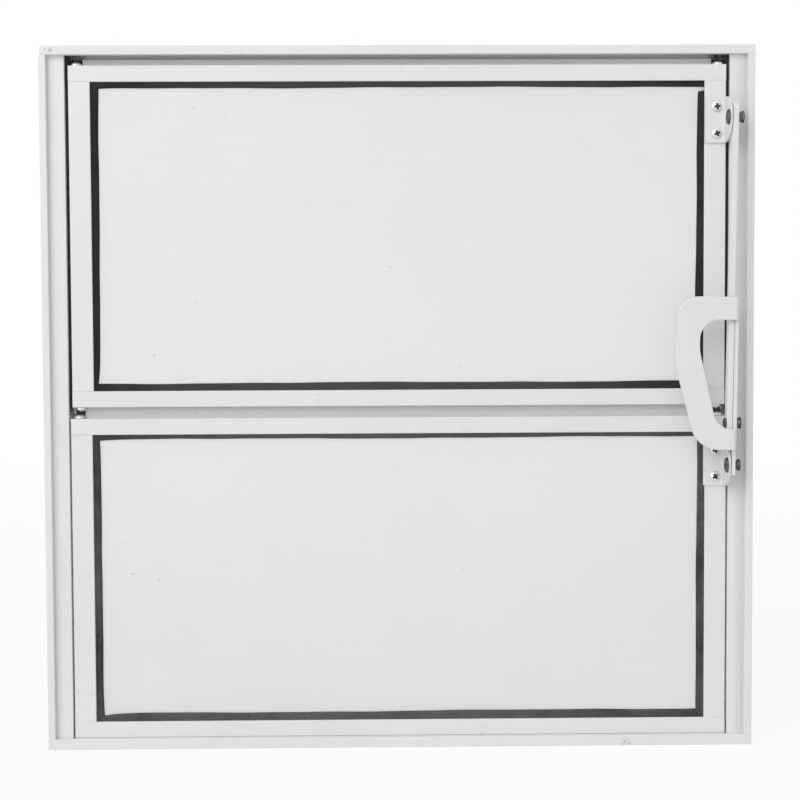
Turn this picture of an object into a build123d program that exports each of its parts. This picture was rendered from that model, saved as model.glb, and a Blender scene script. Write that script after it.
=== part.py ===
from build123d import *
import os
from math import asin, cos, sin, tan

# Two-sash horizontal pivot window, seen from inside the room.
# Millimetres. X to the right, Y towards the outside, Z up.
# The origin is the centre of the sill's underside.

os.makedirs("parts", exist_ok=True)

# Frame
frame_width = 600.0
frame_height = 594.0
frame_depth = 45.0
frame_wall = 1.5
lip_depth = 5.0
head_lip = 7.7
sill_lip = 8.6
jamb_lip = 6.0
jamb_width = 20.4
head_edge_round = 2.0
head_left_short = 1.5
profile_round = 0.6

# Sashes
lower_sash_height = 272.8
sill_gap = 0.3
mid_gap = 9.8
head_gap = 8.1
upper_side_gap = 3.2
lower_side_gap = 1.6
sash_depth = 25.0
sash_wall = 1.4
stile_face = 18.0
rail_face = 13.6
glazing_pocket_depth = 7.0
glazing_pocket_width = 9.0

# Weather fins on the rails, and the stops that they close against
fin_setback = 9.0
fin_wall = 1.4
fin_tip_gap = 2.0
fin_notch = 13.0
seal_gap = 4.0
stop_end_gap = 0.3

# Pile seals
pile_clear = 0.3
pile_back = 1.0
pile_brush_width = 2.6
pile_groove_setback = 4.2
pile_groove_width = 4.2
pile_groove_depth = 2.2
pile_fit = 0.1
pile_break = 2.0
pile_hide = 0.3

# Glass and its rubber
glass_thickness = 4.0
glass_bite = 5.0
gasket_fit = 0.1
gasket_show = 6.2
gasket_show_outside = 3.0
gasket_floor_gap = 0.3
gasket_corner_gap = 0.6

# Pivots at mid-height of each sash
pivot_setback = 13.5
pivot_radius = 2.4
pivot_running_fit = 0.08
pivot_seat_fit = 0.05
pivot_collar_radius = 4.5
pivot_collar = 0.8
pivot_into_jamb = 3.5
pivot_into_stile = 5.0

# Corner screws, driven through the rails into screw ports in the stiles
corner_screw_inset = 6.0
corner_screw_setback = 6.5
corner_screw_radius = 1.95
corner_screw_head_radius = 4.6
corner_screw_head = 4.0
corner_screw_head_side = 2.0
corner_screw_bite = 12.0
screw_port_wall = 1.0
screw_port_web = 1.8
screw_fit = 0.1
screw_hole_fit = 0.35

# Link brackets, one on each right stile
bracket_below_top = 40.2
bracket_height = 37.6
bracket_wall = 2.0
bracket_bend = 1.0
bracket_ear_straight = 7.0
bracket_screw_spacing = 22.6
bracket_screw_inset = 8.2
bracket_screw_radius = 1.9
bracket_screw_head_radius = 4.2
bracket_screw_head = 2.6
bracket_screw_head_side = 0.9

# Link bar, handle and rivets
rivet_reach = 21.0
rivet_radius = 2.5
rivet_running_fit = 0.08
rivet_seat_fit = 0.03
rivet_head_radius = 6.4
rivet_head = 1.6
rivet_tail_radius = 4.4
rivet_tail = 4.3
rivet_end_play = 0.15
washer_gap = 0.6
bar_thickness = 4.8
bar_width = 9.5
bar_top_end = 12.0
bar_bottom_end = 9.0
bar_edge_round = 0.7
spine_thickness = 3.0
spine_bottom_end = 8.0
handle_rise = 13.1
handle_height = 127.3
handle_width = 51.7
handle_thickness = 3.0
handle_reach = 28.0
handle_arm = 19.2
handle_foot = 17.4
handle_grip = 19.0
handle_lean_in = 18.4
handle_grip_lean = 15.8
handle_shoulder = 60.4
handle_grip_shoulder = 25.7
handle_top_round = 18.0
handle_bottom_round = 24.0
handle_inner_top_round = 16.0
handle_inner_bottom_round = 15.5
handle_soft_round = 40.0
handle_bend = 1.0
handle_edge_round = 0.8
joint_rivet_rise = 35.2

# Places worked out from the sizes above
half_frame = frame_width / 2
front_y = -frame_depth / 2
back_y = frame_depth / 2
face_y = front_y + lip_depth
jamb_inner_x = half_frame - jamb_width
lower_half = jamb_inner_x - lower_side_gap
upper_half = jamb_inner_x - upper_side_gap
lower_bottom = sill_lip + sill_gap
lower_top = lower_bottom + lower_sash_height
upper_bottom = lower_top + mid_gap
upper_top = frame_height - head_lip - head_gap
pivot_y = face_y + pivot_setback
top_fin_y = face_y + fin_setback
bottom_fin_y = top_fin_y + fin_wall + seal_gap
sill_stop_y = bottom_fin_y - seal_gap - fin_wall
pile_groove_y = face_y + pile_groove_setback
glass_y = face_y + sash_wall + (glazing_pocket_width - glass_thickness) / 2
corner_screw_y = face_y + corner_screw_setback
ear_left_x = upper_half - bracket_wall
bracket_screw_x = upper_half - bracket_screw_inset
rivet_y = face_y - rivet_reach

sashes = {
    "lower": {"half": lower_half, "bottom": lower_bottom, "top": lower_top, "gap": lower_side_gap},
    "upper": {"half": upper_half, "bottom": upper_bottom, "top": upper_top, "gap": upper_side_gap},
}
for sash in sashes.values():
    sash["pivot"] = (sash["bottom"] + sash["top"]) / 2

# Both brackets lie equally far above their pivots, so that the sashes tilt together.
bracket_above_pivot = min(sash["top"] - sash["pivot"] for sash in sashes.values()) - bracket_below_top
for sash in sashes.values():
    sash["bracket"] = sash["pivot"] + bracket_above_pivot

# The bar lies right of the upper ear and the handle's spine right of the lower ear.
# The spine lies against the bar, so the pair leans by one bar thickness between the ears.
link_length = sashes["upper"]["bracket"] - sashes["lower"]["bracket"]
link_lean = asin(bar_thickness / link_length)
link_left_x = upper_half + washer_gap


def save(built, name):
    """Labels a finished piece and writes its STEP file."""
    built.part.label = name
    export_step(built.part, f"parts/{name}.step")


def frame_rail(name, outer_z, inward, lip, left_short, stop_y, stop_half, stop_tip_z, outer_round):
    """Head or sill: a web with a hollow front lip and a stop that stands across the opening."""
    web_z = outer_z + inward * frame_wall
    lip_z = outer_z + inward * lip
    with BuildPart() as rail:
        with BuildSketch(Plane.YZ.offset(left_short - half_frame)) as section:
            with BuildLine():
                Polyline(
                    (front_y, outer_z),
                    (back_y, outer_z),
                    (back_y, web_z),
                    (face_y, web_z),
                    (face_y, lip_z),
                    (front_y, lip_z),
                    close=True,
                )
            make_face()
            outer_corner = section.vertices().sort_by_distance((front_y, outer_z))[0]
            fillet(outer_corner, radius=outer_round)
            lip_corner = section.vertices().sort_by_distance((front_y, lip_z))[0]
            fillet(lip_corner, radius=profile_round)
            with BuildLine():
                Polyline(
                    (front_y + frame_wall, web_z),
                    (face_y - frame_wall, web_z),
                    (face_y - frame_wall, lip_z - inward * frame_wall),
                    (front_y + frame_wall, lip_z - inward * frame_wall),
                    close=True,
                )
            make_face(mode=Mode.SUBTRACT)
        extrude(amount=frame_width - left_short)
        with BuildSketch(Plane.YZ.offset(-stop_half)):
            with BuildLine():
                Polyline(
                    (stop_y, web_z),
                    (stop_y + fin_wall, web_z),
                    (stop_y + fin_wall, stop_tip_z),
                    (stop_y, stop_tip_z),
                    close=True,
                )
            make_face()
        extrude(amount=2 * stop_half)
    save(rail, name)


def jamb(name, side):
    """Side post: a hollow box with a front lip, a pile groove and two pivot holes."""
    chamber_in = jamb_inner_x + frame_wall
    chamber_out = half_frame - frame_wall
    groove_x = jamb_inner_x + pile_groove_depth
    groove_back = pile_groove_y + pile_groove_width
    lip_x = half_frame - jamb_lip
    with BuildPart() as post:
        with BuildSketch(Plane.XY.offset(frame_wall)) as box_section:
            with BuildLine():
                Polyline(
                    (side * half_frame, face_y),
                    (side * jamb_inner_x, face_y),
                    (side * jamb_inner_x, pile_groove_y),
                    (side * groove_x, pile_groove_y),
                    (side * groove_x, groove_back),
                    (side * jamb_inner_x, groove_back),
                    (side * jamb_inner_x, back_y),
                    (side * half_frame, back_y),
                    close=True,
                )
            make_face()
            face_corner = box_section.vertices().sort_by_distance((side * jamb_inner_x, face_y))[0]
            fillet(face_corner, radius=profile_round)
            with BuildLine():
                Polyline(
                    (side * chamber_out, face_y + frame_wall),
                    (side * chamber_in, face_y + frame_wall),
                    (side * chamber_in, pile_groove_y - frame_wall),
                    (side * (groove_x + frame_wall), pile_groove_y - frame_wall),
                    (side * (groove_x + frame_wall), groove_back + frame_wall),
                    (side * chamber_in, groove_back + frame_wall),
                    (side * chamber_in, back_y - frame_wall),
                    (side * chamber_out, back_y - frame_wall),
                    close=True,
                )
            make_face(mode=Mode.SUBTRACT)
        extrude(amount=frame_height - 2 * frame_wall)
        with BuildSketch(Plane.XY.offset(sill_lip)) as lip_section:
            with BuildLine():
                Polyline(
                    (side * half_frame, front_y),
                    (side * lip_x, front_y),
                    (side * lip_x, face_y),
                    (side * half_frame, face_y),
                    close=True,
                )
            make_face()
            fillet(lip_section.vertices().group_by(Axis.Y)[0], radius=profile_round)
            with BuildLine():
                Polyline(
                    (side * chamber_out, front_y + frame_wall),
                    (side * (lip_x + frame_wall), front_y + frame_wall),
                    (side * (lip_x + frame_wall), face_y),
                    (side * chamber_out, face_y),
                    close=True,
                )
            make_face(mode=Mode.SUBTRACT)
        extrude(amount=frame_height - head_lip - sill_lip)
        with BuildSketch(Plane.YZ.offset(side * jamb_inner_x)):
            with Locations(*[(pivot_y, sash["pivot"]) for sash in sashes.values()]):
                Circle(pivot_radius + pivot_running_fit)
        extrude(amount=side * frame_wall, mode=Mode.SUBTRACT)
    save(post, name)


def jamb_pile(name, side):
    """Pile seal in a jamb's groove: one length beside each sash, brushing its stile."""
    back_x = jamb_inner_x + pile_groove_depth - pile_fit
    back_face_x = back_x - pile_back
    middle_y = pile_groove_y + pile_groove_width / 2
    half_back = pile_groove_width / 2 - pile_fit
    half_brush = pile_brush_width / 2
    middle_z = (lower_top + upper_bottom) / 2
    lengths = {
        "lower": (frame_wall + pile_clear, middle_z - pile_break / 2),
        "upper": (middle_z + pile_break / 2, frame_height - frame_wall - pile_clear),
    }
    with BuildPart() as pile:
        for row, (start_z, end_z) in lengths.items():
            tip_x = jamb_inner_x - sashes[row]["gap"] + pile_clear
            with BuildSketch(Plane.XY.offset(start_z)):
                with BuildLine():
                    Polyline(
                        (side * back_x, middle_y - half_back),
                        (side * back_face_x, middle_y - half_back),
                        (side * back_face_x, middle_y - half_brush),
                        (side * tip_x, middle_y - half_brush),
                        (side * tip_x, middle_y + half_brush),
                        (side * back_face_x, middle_y + half_brush),
                        (side * back_face_x, middle_y + half_back),
                        (side * back_x, middle_y + half_back),
                        close=True,
                    )
                make_face()
            extrude(amount=end_z - start_z)
    save(pile, name)


def fin_pile(name, fin_face_y, towards, half_length, low_z, high_z, brush_z):
    """Pile seal stuck along the face of a fin or stop, with its brush towards the other fin."""
    brush_y = fin_face_y + towards * (seal_gap - pile_clear)
    back_face_y = fin_face_y + towards * pile_back
    half_brush = pile_brush_width / 2
    with BuildPart() as pile:
        with BuildSketch(Plane.YZ.offset(-half_length)):
            with BuildLine():
                Polyline(
                    (fin_face_y, low_z),
                    (back_face_y, low_z),
                    (back_face_y, brush_z - half_brush),
                    (brush_y, brush_z - half_brush),
                    (brush_y, brush_z + half_brush),
                    (back_face_y, brush_z + half_brush),
                    (back_face_y, high_z),
                    (fin_face_y, high_z),
                    close=True,
                )
            make_face()
        extrude(amount=2 * half_length)
    save(pile, name)


def sash_rail(name, half, outer_z, inward, fin_y, fin_height):
    """Top or bottom rail: hollow, with a glazing pocket, a weather fin and two screw holes."""
    outer_wall_z = outer_z + inward * sash_wall
    inner_z = outer_z + inward * rail_face
    inner_wall_z = inner_z - inward * sash_wall
    pocket_z = inner_z - inward * glazing_pocket_depth
    pocket_wall_z = pocket_z - inward * sash_wall
    pocket_front_y = face_y + sash_wall
    pocket_back_y = pocket_front_y + glazing_pocket_width
    chamber_back_y = face_y + sash_depth - sash_wall
    with BuildPart() as rail:
        with BuildSketch(Plane.YZ.offset(-half)) as section:
            with BuildLine():
                Polyline(
                    (face_y, outer_z),
                    (face_y + sash_depth, outer_z),
                    (face_y + sash_depth, inner_z),
                    (pocket_back_y, inner_z),
                    (pocket_back_y, pocket_z),
                    (pocket_front_y, pocket_z),
                    (pocket_front_y, inner_z),
                    (face_y, inner_z),
                    close=True,
                )
            make_face()
            fillet(section.vertices().group_by(Axis.X)[0], radius=profile_round)
            with BuildLine():
                Polyline(
                    (face_y + sash_wall, outer_wall_z),
                    (chamber_back_y, outer_wall_z),
                    (chamber_back_y, inner_wall_z),
                    (pocket_back_y + sash_wall, inner_wall_z),
                    (pocket_back_y + sash_wall, pocket_wall_z),
                    (face_y + sash_wall, pocket_wall_z),
                    close=True,
                )
            make_face(mode=Mode.SUBTRACT)
        extrude(amount=2 * half)
        with BuildSketch(Plane.YZ.offset(fin_notch - half)):
            with BuildLine():
                Polyline(
                    (fin_y, outer_z),
                    (fin_y + fin_wall, outer_z),
                    (fin_y + fin_wall, outer_z - inward * fin_height),
                    (fin_y, outer_z - inward * fin_height),
                    close=True,
                )
            make_face()
        extrude(amount=2 * (half - fin_notch))
        with BuildSketch(Plane.XY.offset(outer_z)):
            screw_x = half - corner_screw_inset
            with Locations((-screw_x, corner_screw_y), (screw_x, corner_screw_y)):
                Circle(corner_screw_radius + screw_hole_fit)
        extrude(amount=inward * rail_face, mode=Mode.SUBTRACT)
    save(rail, name)


def sash_stile(name, sash, side, carries_bracket):
    """Stile cut between the rails: hollow, with a glazing pocket and a screw port."""
    half = sash["half"]
    start_z = sash["bottom"] + rail_face
    length = sash["top"] - sash["bottom"] - 2 * rail_face
    inner_x = half - stile_face
    pocket_x = inner_x + glazing_pocket_depth
    pocket_front_y = face_y + sash_wall
    pocket_back_y = pocket_front_y + glazing_pocket_width
    chamber_back_y = face_y + sash_depth - sash_wall
    port_x = half - corner_screw_inset
    port_radius = corner_screw_radius + screw_fit
    with BuildPart() as stile:
        with BuildSketch(Plane.XY.offset(start_z)) as section:
            with BuildLine():
                Polyline(
                    (side * half, face_y),
                    (side * half, face_y + sash_depth),
                    (side * inner_x, face_y + sash_depth),
                    (side * inner_x, pocket_back_y),
                    (side * pocket_x, pocket_back_y),
                    (side * pocket_x, pocket_front_y),
                    (side * inner_x, pocket_front_y),
                    (side * inner_x, face_y),
                    close=True,
                )
            make_face()
            fillet(section.vertices().group_by(Axis.Y)[0], radius=profile_round)
            with BuildLine():
                Polyline(
                    (side * (half - sash_wall), pocket_front_y),
                    (side * (half - sash_wall), chamber_back_y),
                    (side * (inner_x + sash_wall), chamber_back_y),
                    (side * (inner_x + sash_wall), pocket_back_y + sash_wall),
                    (side * (pocket_x + sash_wall), pocket_back_y + sash_wall),
                    (side * (pocket_x + sash_wall), pocket_front_y),
                    close=True,
                )
            make_face(mode=Mode.SUBTRACT)
            with Locations((side * port_x, corner_screw_y)):
                Circle(port_radius + screw_port_wall)
            with BuildLine():
                Polyline(
                    (side * port_x, corner_screw_y - screw_port_web / 2),
                    (side * (pocket_x + sash_wall / 2), corner_screw_y - screw_port_web / 2),
                    (side * (pocket_x + sash_wall / 2), corner_screw_y + screw_port_web / 2),
                    (side * port_x, corner_screw_y + screw_port_web / 2),
                    close=True,
                )
            make_face()
            with Locations((side * port_x, corner_screw_y)):
                Circle(port_radius, mode=Mode.SUBTRACT)
        extrude(amount=length)
        with BuildSketch(Plane.YZ.offset(side * half)):
            with Locations((pivot_y, sash["pivot"])):
                Circle(pivot_radius + pivot_seat_fit)
        extrude(amount=-side * sash_wall, mode=Mode.SUBTRACT)
        if carries_bracket:
            with BuildSketch(Plane.XZ.offset(-face_y)):
                for step in (-0.5, 0.5):
                    with Locations((bracket_screw_x, sash["bracket"] + step * bracket_screw_spacing)):
                        Circle(bracket_screw_radius + screw_fit)
            extrude(amount=-sash_wall, mode=Mode.SUBTRACT)
    save(stile, name)


def sash_glass(name, sash):
    """Pane of obscure glass, its edges held in the glazing pockets."""
    half_width = sash["half"] - stile_face + glass_bite
    low_z = sash["bottom"] + rail_face - glass_bite
    high_z = sash["top"] - rail_face + glass_bite
    with BuildPart() as pane:
        with BuildSketch(Plane.XZ.offset(-glass_y)):
            with Locations((0, (low_z + high_z) / 2)):
                Rectangle(2 * half_width, high_z - low_z)
        extrude(amount=-glass_thickness)
    save(pane, name)


def gasket_section(edge, inward):
    """Corners of the U-shaped rubber over one glass edge, as (distance along the pane, depth)."""
    floor = edge - inward * (glazing_pocket_depth - gasket_floor_gap)
    glass_edge = edge - inward * (glass_bite + gasket_fit)
    front = face_y + sash_wall + gasket_fit
    back = face_y + sash_wall + glazing_pocket_width - gasket_fit
    glass_front = glass_y - gasket_fit
    glass_back = glass_y + glass_thickness + gasket_fit
    return [
        (floor, front),
        (edge + inward * gasket_show, front),
        (edge + inward * gasket_show, glass_front),
        (glass_edge, glass_front),
        (glass_edge, glass_back),
        (edge + inward * gasket_show_outside, glass_back),
        (edge + inward * gasket_show_outside, back),
        (floor, back),
    ]


def sash_gasket(name, sash):
    """Four lengths of U-shaped rubber round a pane, butted at the corners."""
    inner_x = sash["half"] - stile_face
    inner_low = sash["bottom"] + rail_face
    inner_high = sash["top"] - rail_face
    long_half = inner_x + glazing_pocket_depth - gasket_floor_gap
    short_low = inner_low + gasket_show + gasket_corner_gap
    short_high = inner_high - gasket_show - gasket_corner_gap
    with BuildPart() as gasket:
        for edge, inward in ((inner_low, 1), (inner_high, -1)):
            with BuildSketch(Plane.YZ.offset(-long_half)):
                with BuildLine():
                    Polyline(*[(y, z) for z, y in gasket_section(edge, inward)], close=True)
                make_face()
            extrude(amount=2 * long_half)
        for edge, inward in ((-inner_x, 1), (inner_x, -1)):
            with BuildSketch(Plane.XY.offset(short_low)):
                with BuildLine():
                    Polyline(*gasket_section(edge, inward), close=True)
                make_face()
            extrude(amount=short_high - short_low)
    save(gasket, name)


def pivot_pins(name, sash):
    """Stepped pins, seated in the stiles and turning in the jambs' inner walls."""
    half = sash["half"]
    with BuildPart() as pins:
        for side in (-1, 1):
            with BuildSketch(Plane.YZ.offset(side * (half - pivot_into_stile))):
                with Locations((pivot_y, sash["pivot"])):
                    Circle(pivot_radius)
            extrude(amount=side * (pivot_into_stile + sash["gap"] + pivot_into_jamb))
            with BuildSketch(Plane.YZ.offset(side * half)):
                with Locations((pivot_y, sash["pivot"])):
                    Circle(pivot_collar_radius)
            extrude(amount=side * pivot_collar)
    save(pins, name)


def corner_screws(name, sash):
    """Pan-head screws through the ends of both rails into the stiles' screw ports."""
    screw_x = sash["half"] - corner_screw_inset
    tip = -(rail_face + corner_screw_bite)
    crown_radius = corner_screw_head_radius - (corner_screw_head - corner_screw_head_side)
    with BuildPart() as screws:
        for outer_z, inward in ((sash["bottom"], 1), (sash["top"], -1)):
            for side in (-1, 1):
                section_plane = Plane(
                    origin=(side * screw_x, corner_screw_y, outer_z),
                    x_dir=(1, 0, 0),
                    z_dir=(0, inward, 0),
                )
                with BuildSketch(section_plane):
                    with BuildLine():
                        Polyline(
                            (0, corner_screw_head),
                            (0, tip),
                            (corner_screw_radius, tip),
                            (corner_screw_radius, 0),
                            (corner_screw_head_radius, 0),
                            (corner_screw_head_radius, corner_screw_head_side),
                            (crown_radius, corner_screw_head),
                            close=True,
                        )
                    make_face()
                revolve(axis=Axis((side * screw_x, corner_screw_y, outer_z), (0, 0, 1)))
    save(screws, name)


# Head and sill. The head's stop lies outside the upper sash's top fin, and the sill's stop lies
# inside the lower sash's bottom fin, because the tops swing in and the bottoms swing out.
head_stop_half = jamb_inner_x - stop_end_gap
head_stop_tip = upper_top + fin_tip_gap
sill_stop_half = lower_half - fin_notch
sill_stop_tip = lower_bottom - fin_tip_gap
frame_rail(
    "head",
    frame_height,
    -1,
    head_lip,
    head_left_short,
    bottom_fin_y,
    head_stop_half,
    head_stop_tip,
    head_edge_round,
)
frame_rail(
    "sill",
    0.0,
    1,
    sill_lip,
    0.0,
    sill_stop_y,
    sill_stop_half,
    sill_stop_tip,
    profile_round,
)

# Jambs and their pile
jamb("left_jamb", -1)
jamb("right_jamb", 1)
jamb_pile("left_pile", -1)
jamb_pile("right_pile", 1)

# Sashes, each with its rails, stiles, pane, rubber, pivots and corner screws
middle_fin_height = mid_gap - fin_tip_gap
top_fin_heights = {"lower": middle_fin_height, "upper": head_gap - fin_tip_gap}
bottom_fin_heights = {"lower": lower_bottom - frame_wall - fin_tip_gap, "upper": middle_fin_height}
for row, sash in sashes.items():
    sash_rail(f"{row}_top_rail", sash["half"], sash["top"], -1, top_fin_y, top_fin_heights[row])
    sash_rail(
        f"{row}_bottom_rail", sash["half"], sash["bottom"], 1, bottom_fin_y, bottom_fin_heights[row]
    )
    sash_stile(f"{row}_left_stile", sash, -1, False)
    sash_stile(f"{row}_right_stile", sash, 1, True)
    sash_glass(f"{row}_glass", sash)
    sash_gasket(f"{row}_gasket", sash)
    pivot_pins(f"{row}_pivots", sash)
    corner_screws(f"{row}_corner_screws", sash)

# Pile on the head's stop, on the upper sash's bottom fin and on the sill's stop.
# Each brush lies at the middle of the height where the two fins overlap, and from the room
# the pile stays hidden behind the fin in front of it.
head_brush_z = (head_stop_tip + upper_top + top_fin_heights["upper"]) / 2
middle_brush_z = (lower_top + upper_bottom) / 2
sill_brush_z = (sill_stop_tip + lower_bottom - bottom_fin_heights["lower"]) / 2
head_pile_high = upper_top + top_fin_heights["upper"] - pile_hide
middle_pile_half = upper_half - fin_notch
middle_pile_low = upper_bottom - middle_fin_height
middle_pile_high = lower_top + top_fin_heights["lower"] - pile_hide
fin_pile("head_pile", bottom_fin_y, -1, head_stop_half, head_stop_tip, head_pile_high, head_brush_z)
fin_pile(
    "middle_pile",
    bottom_fin_y,
    -1,
    middle_pile_half,
    middle_pile_low,
    middle_pile_high,
    middle_brush_z,
)
fin_pile(
    "sill_pile", sill_stop_y + fin_wall, 1, sill_stop_half, frame_wall, sill_stop_tip, sill_brush_z
)

# Link brackets: strip bent into a plate on the stile's face and an ear that stands into the room
plate_left_x = upper_half - stile_face
plate_front_y = face_y - bracket_wall
ear_round_y = face_y - bracket_ear_straight
ear_tip_y = ear_round_y - bracket_height / 2
for row, sash in sashes.items():
    low_z = sash["bracket"] - bracket_height / 2
    high_z = sash["bracket"] + bracket_height / 2
    with BuildPart() as bracket:
        with BuildSketch(Plane.XY.offset(low_z)) as section:
            with BuildLine():
                Polyline(
                    (plate_left_x, face_y),
                    (upper_half, face_y),
                    (upper_half, ear_tip_y),
                    (ear_left_x, ear_tip_y),
                    (ear_left_x, plate_front_y),
                    (plate_left_x, plate_front_y),
                    close=True,
                )
            make_face()
            outer_corner = section.vertices().sort_by_distance((upper_half, face_y))[0]
            fillet(outer_corner, radius=bracket_bend + bracket_wall)
            inner_corner = section.vertices().sort_by_distance((ear_left_x, plate_front_y))[0]
            fillet(inner_corner, radius=bracket_bend)
        extrude(amount=bracket_height)
        with BuildSketch(Plane.YZ.offset(plate_left_x)):
            with BuildLine():
                Polyline(
                    (ear_round_y, high_z),
                    (face_y, high_z),
                    (face_y, low_z),
                    (ear_round_y, low_z),
                )
                ThreePointArc((ear_round_y, low_z), (ear_tip_y, sash["bracket"]), (ear_round_y, high_z))
            make_face()
        extrude(amount=stile_face, mode=Mode.INTERSECT)
        with BuildSketch(Plane.YZ.offset(ear_left_x)):
            with Locations((rivet_y, sash["bracket"])):
                Circle(rivet_radius + rivet_running_fit)
        extrude(amount=bracket_wall, mode=Mode.SUBTRACT)
        with BuildSketch(Plane.XZ.offset(-face_y)):
            for step in (-0.5, 0.5):
                with Locations((bracket_screw_x, sash["bracket"] + step * bracket_screw_spacing)):
                    Circle(bracket_screw_radius + screw_fit)
        extrude(amount=bracket_wall, mode=Mode.SUBTRACT)
    save(bracket, f"{row}_bracket")

    with BuildPart() as bracket_screws:
        shank_tip_y = face_y + sash_wall
        crown_y = plate_front_y - bracket_screw_head
        side_y = plate_front_y - bracket_screw_head_side
        rim_x = bracket_screw_x + bracket_screw_head_radius
        shank_x = bracket_screw_x + bracket_screw_radius
        crown_x = rim_x - (bracket_screw_head - bracket_screw_head_side)
        for step in (-0.5, 0.5):
            screw_z = sash["bracket"] + step * bracket_screw_spacing
            with BuildSketch(Plane.XY.offset(screw_z)):
                with BuildLine():
                    Polyline(
                        (bracket_screw_x, crown_y),
                        (bracket_screw_x, shank_tip_y),
                        (shank_x, shank_tip_y),
                        (shank_x, plate_front_y),
                        (rim_x, plate_front_y),
                        (rim_x, side_y),
                        (crown_x, crown_y),
                        close=True,
                    )
                make_face()
            revolve(axis=Axis((bracket_screw_x, 0, screw_z), (0, 1, 0)))
    save(bracket_screws, f"{row}_bracket_screws")

# Link bar, leaning from the right of the upper ear to the left of the handle's spine
lower_rivet_z = sashes["lower"]["bracket"]
upper_rivet_z = sashes["upper"]["bracket"]
joint_rivet_z = lower_rivet_z + joint_rivet_rise
link_across = Vector(cos(link_lean), 0, -sin(link_lean))
link_start = Vector(link_left_x, rivet_y, upper_rivet_z)
lower_rivet_s = -link_length * cos(link_lean)
bar_low_s = lower_rivet_s + joint_rivet_rise - bar_bottom_end
bar_plane = Plane(origin=link_start, x_dir=(0, 1, 0), z_dir=link_across)
bore_start_x = link_left_x - 2 * bar_thickness
bore_length = 2 * (2 * bar_thickness + spine_thickness)


def lean_x(z, offset):
    """X of a line along the link, offset square to it from the bar's left face."""
    return link_left_x + (z - upper_rivet_z) * tan(link_lean) + offset / cos(link_lean)


with BuildPart() as link_bar:
    with BuildSketch(bar_plane):
        with BuildLine():
            Polyline(
                (-bar_width / 2, bar_top_end - bar_width / 2),
                (-bar_width / 2, bar_low_s),
                (bar_width / 2, bar_low_s),
                (bar_width / 2, bar_top_end - bar_width / 2),
            )
            ThreePointArc(
                (bar_width / 2, bar_top_end - bar_width / 2),
                (0, bar_top_end),
                (-bar_width / 2, bar_top_end - bar_width / 2),
            )
        make_face()
    extrude(amount=bar_thickness)
    fillet(link_bar.edges().sort_by(SortBy.LENGTH)[-4:], radius=bar_edge_round)
    with BuildSketch(Plane.YZ.offset(bore_start_x)):
        with Locations((rivet_y, upper_rivet_z), (rivet_y, joint_rivet_z)):
            Circle(rivet_radius + rivet_seat_fit)
    extrude(amount=bore_length, mode=Mode.SUBTRACT)
save(link_bar, "link_bar")

# Handle: a D-shaped grip plate bent back along its right edge into a spine beside the bar
handle_low_s = lower_rivet_s + handle_rise
handle_high_s = handle_low_s + handle_height
inner_high_s = handle_high_s - handle_arm
inner_low_s = handle_low_s + handle_foot
handle_bend_outer = handle_bend + handle_thickness
handle_right = bar_thickness + spine_thickness
handle_left = handle_right - handle_width
grip_left = handle_left + handle_grip
handle_back_y = face_y - handle_reach
grip_plane = Plane(
    origin=(link_left_x, handle_back_y, upper_rivet_z), x_dir=link_across, z_dir=(0, -1, 0)
)
spine_plane = Plane(
    origin=link_start + link_across * bar_thickness, x_dir=(0, 1, 0), z_dir=link_across
)
spine_front = handle_back_y - handle_thickness - rivet_y
spine_low_s = lower_rivet_s - spine_bottom_end
with BuildPart() as handle:
    with BuildSketch(grip_plane):
        with BuildLine():
            FilletPolyline(
                (handle_right, handle_high_s),
                (handle_left, handle_high_s),
                (handle_left, handle_high_s - handle_shoulder),
                (handle_left + handle_lean_in, handle_low_s),
                (handle_right, handle_low_s),
                radius=(handle_top_round, handle_soft_round, handle_bottom_round),
            )
            Line((handle_right, handle_low_s), (handle_right, handle_high_s))
        make_face()
        with BuildLine():
            FilletPolyline(
                (handle_right, inner_high_s),
                (grip_left, inner_high_s),
                (grip_left, inner_high_s - handle_grip_shoulder),
                (grip_left + handle_grip_lean, inner_low_s),
                (handle_right, inner_low_s),
                radius=(handle_inner_top_round, handle_soft_round, handle_inner_bottom_round),
            )
            Line((handle_right, inner_low_s), (handle_right, inner_high_s))
        make_face(mode=Mode.SUBTRACT)
    extrude(amount=handle_thickness)
    with BuildSketch(spine_plane):
        with BuildLine():
            Polyline(
                (bar_width / 2, spine_low_s),
                (bar_width / 2, handle_high_s),
                (spine_front, handle_high_s),
                (spine_front, inner_high_s),
                (spine_front + handle_bend_outer, inner_high_s),
                (spine_front + handle_bend_outer, inner_low_s),
                (spine_front, inner_low_s),
                (spine_front, handle_low_s),
                (-bar_width / 2, handle_low_s),
                (-bar_width / 2, spine_low_s),
                close=True,
            )
        make_face()
    extrude(amount=spine_thickness)
    arm_middle_s = (inner_high_s + handle_high_s) / 2
    foot_middle_s = (inner_low_s + handle_low_s) / 2
    for middle_s in (arm_middle_s, foot_middle_s):
        corner = grip_plane.from_local_coords((handle_right, middle_s, handle_thickness))
        fillet(handle.edges().sort_by_distance(corner)[0], radius=handle_bend_outer)
    grip_edges = handle.faces().sort_by(Axis.Y)[0].edges()
    for middle_s in (arm_middle_s, foot_middle_s):
        bend_line = (handle_right - handle_bend_outer, middle_s, handle_thickness)
        grip_edges = grip_edges.sort_by_distance(grip_plane.from_local_coords(bend_line))[1:]
    fillet(grip_edges, radius=handle_edge_round)
    with BuildSketch(Plane.YZ.offset(bore_start_x)):
        with Locations((rivet_y, lower_rivet_z), (rivet_y, joint_rivet_z)):
            Circle(rivet_radius + rivet_seat_fit)
    extrude(amount=bore_length, mode=Mode.SUBTRACT)
save(handle, "handle")

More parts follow.
